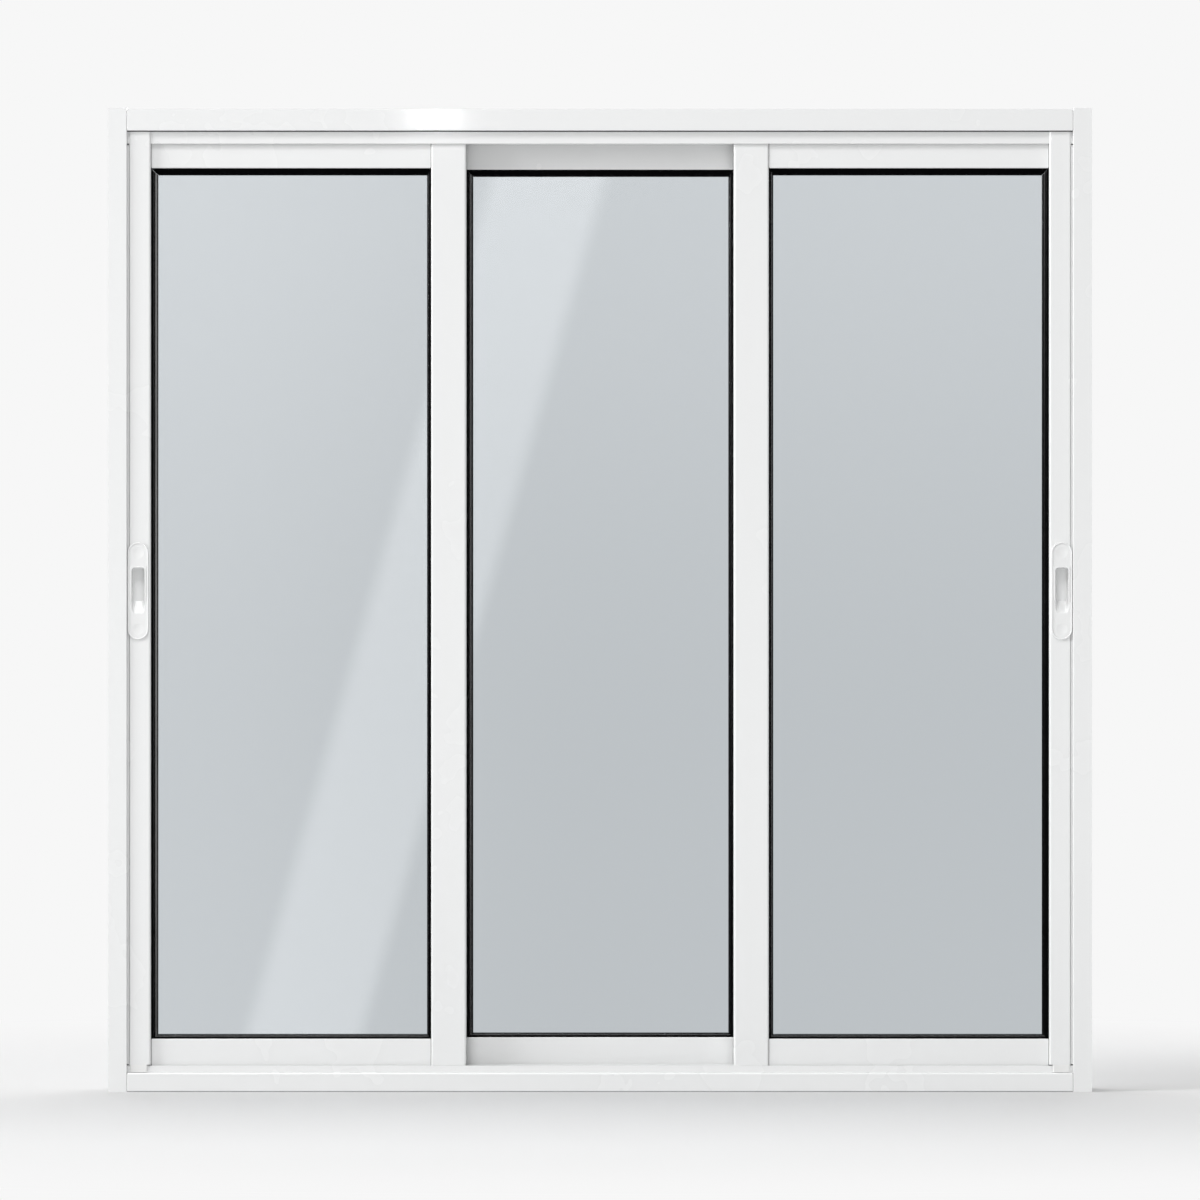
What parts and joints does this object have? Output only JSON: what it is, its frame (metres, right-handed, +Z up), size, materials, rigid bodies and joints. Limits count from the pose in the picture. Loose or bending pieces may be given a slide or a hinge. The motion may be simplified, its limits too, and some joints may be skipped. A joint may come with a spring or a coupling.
{
  "type": "horizontal sliding window",
  "caption": "White aluminium window: two end sashes with flush pulls in the front track, a centre sash in the rear track, all in one outer frame.",
  "frame": {"origin": "on the floor line under the jambs, in the middle of the width and of the depth", "axes": "+Z up, +X to the right and +Y to the rear, seen from the room side with the pulls"},
  "size_m": [1.2, 0.06, 1.2],
  "materials": {
    "white_aluminium": "glossy white powder coat",
    "glass": "clear float glass",
    "gasket_rubber": "satin black",
    "pull_enamel": "glossy white",
    "white_plastic": "white moulded",
    "roller_nylon": "black moulded"
  },
  "bodies": {
    "root": {"head": "white_aluminium", "sill": "white_aluminium", "left_jamb": "white_aluminium", "right_jamb": "white_aluminium", "left_sash_outer_stile": "white_aluminium", "left_sash_inner_stile": "white_aluminium", "left_sash_top_rail": "white_aluminium", "left_sash_bottom_rail": "white_aluminium", "left_sash_glass": "glass", "left_sash_front_gasket": "gasket_rubber", "left_sash_rear_gasket": "gasket_rubber", "left_sash_pull": "pull_enamel", "left_sash_foot_cap": "white_plastic", "left_sash_rollers": "roller_nylon", "right_sash_outer_stile": "white_aluminium", "right_sash_inner_stile": "white_aluminium", "right_sash_top_rail": "white_aluminium", "right_sash_bottom_rail": "white_aluminium", "right_sash_glass": "glass", "right_sash_front_gasket": "gasket_rubber", "right_sash_rear_gasket": "gasket_rubber", "right_sash_pull": "pull_enamel", "right_sash_foot_cap": "white_plastic", "right_sash_rollers": "roller_nylon", "centre_sash_left_stile": "white_aluminium", "centre_sash_right_stile": "white_aluminium", "centre_sash_top_rail": "white_aluminium", "centre_sash_bottom_rail": "white_aluminium", "centre_sash_glass": "glass", "centre_sash_front_gasket": "gasket_rubber", "centre_sash_rear_gasket": "gasket_rubber", "centre_sash_blocks": "roller_nylon"}
  },
  "joints": []
}
